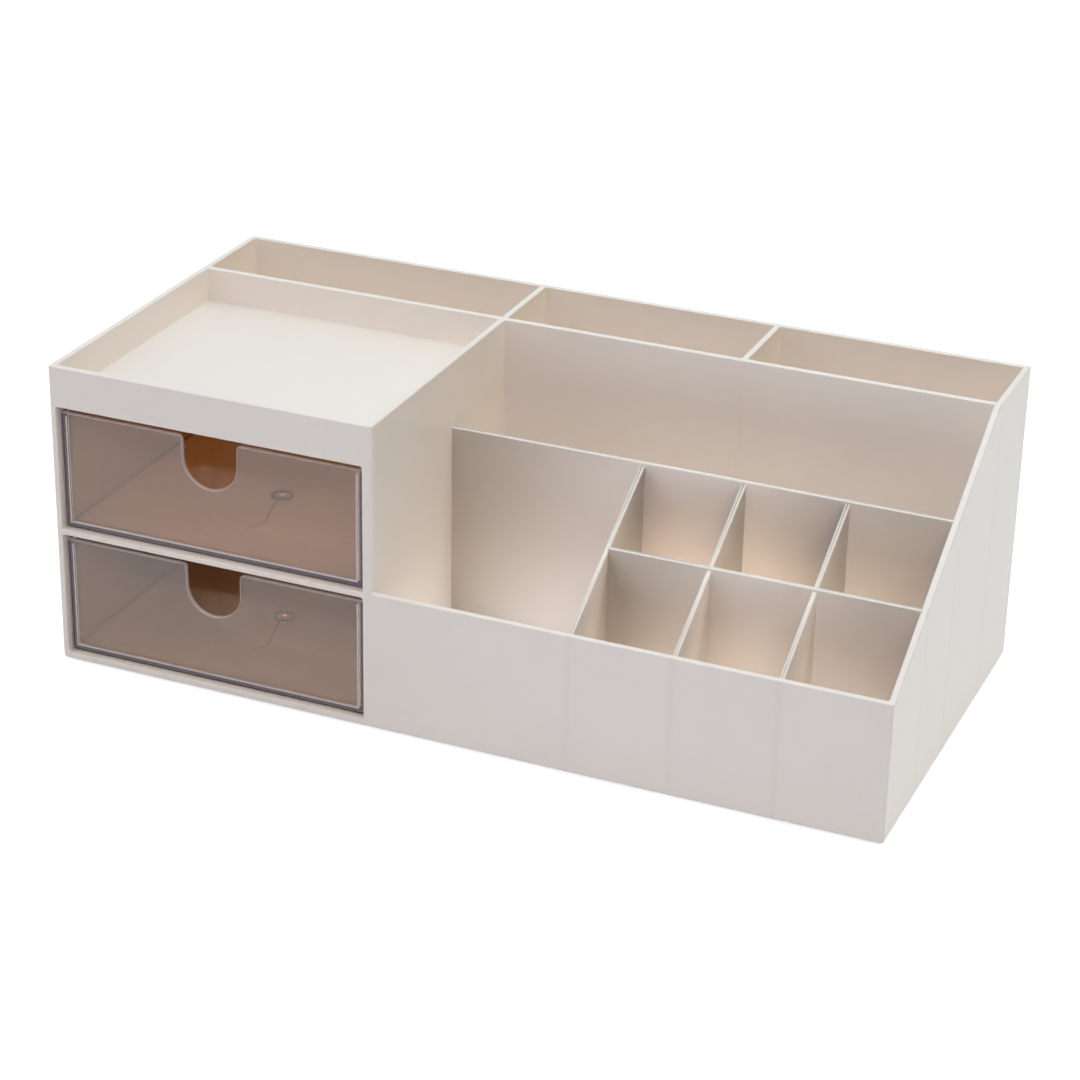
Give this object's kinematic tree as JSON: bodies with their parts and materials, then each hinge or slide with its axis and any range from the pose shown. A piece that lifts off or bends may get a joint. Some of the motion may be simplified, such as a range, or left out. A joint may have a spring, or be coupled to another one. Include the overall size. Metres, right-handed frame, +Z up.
{
  "type": "makeup organizer with drawers",
  "caption": "Low desktop makeup organizer: clear brown pull-out drawers under a shallow tray beside stepped open compartments and lipstick cells in a cream casing.",
  "frame": {"origin": "on the resting surface, under the middle of the casing", "axes": "+X to the right along the width, +Y to the back, +Z up; the drawers open towards -Y"},
  "size_m": [0.31, 0.15, 0.1152],
  "materials": {
    "casing_plastic": "cream moulded plastic with a fine satin surface",
    "drawer_plastic": "clear smoke-brown moulded polystyrene, polished",
    "pad_foam": "soft grey non-slip pad"
  },
  "bodies": {
    "casing": {"base_plate": "casing_plastic", "left_wall": "casing_plastic", "right_wall": "casing_plastic", "back_wall": "casing_plastic", "front_wall": "casing_plastic", "tall_partition": "casing_plastic", "rear_divider_1": "casing_plastic", "rear_divider_2": "casing_plastic", "middle_partition": "casing_plastic", "column_divider_1": "casing_plastic", "column_divider_2": "casing_plastic", "column_divider_3": "casing_plastic", "row_partition_1": "casing_plastic", "row_partition_2": "casing_plastic", "row_partition_3": "casing_plastic", "cabinet_side_wall": "casing_plastic", "drawer_fascia": "casing_plastic", "tray_floor": "casing_plastic", "drawer_shelf": "casing_plastic", "pad_front_left": "pad_foam", "pad_front_right": "pad_foam", "pad_back_left": "pad_foam", "pad_back_right": "pad_foam"},
    "upper_drawer": {"upper_drawer": "drawer_plastic"},
    "lower_drawer": {"lower_drawer": "drawer_plastic"}
  },
  "joints": [
    {"name": "upper_drawer_slide", "type": "slide", "parent": "casing", "child": "upper_drawer", "axis": [0, -1, 0], "range_m": [0, 0.09]},
    {"name": "lower_drawer_slide", "type": "slide", "parent": "casing", "child": "lower_drawer", "axis": [0, -1, 0], "range_m": [0, 0.09]}
  ]
}
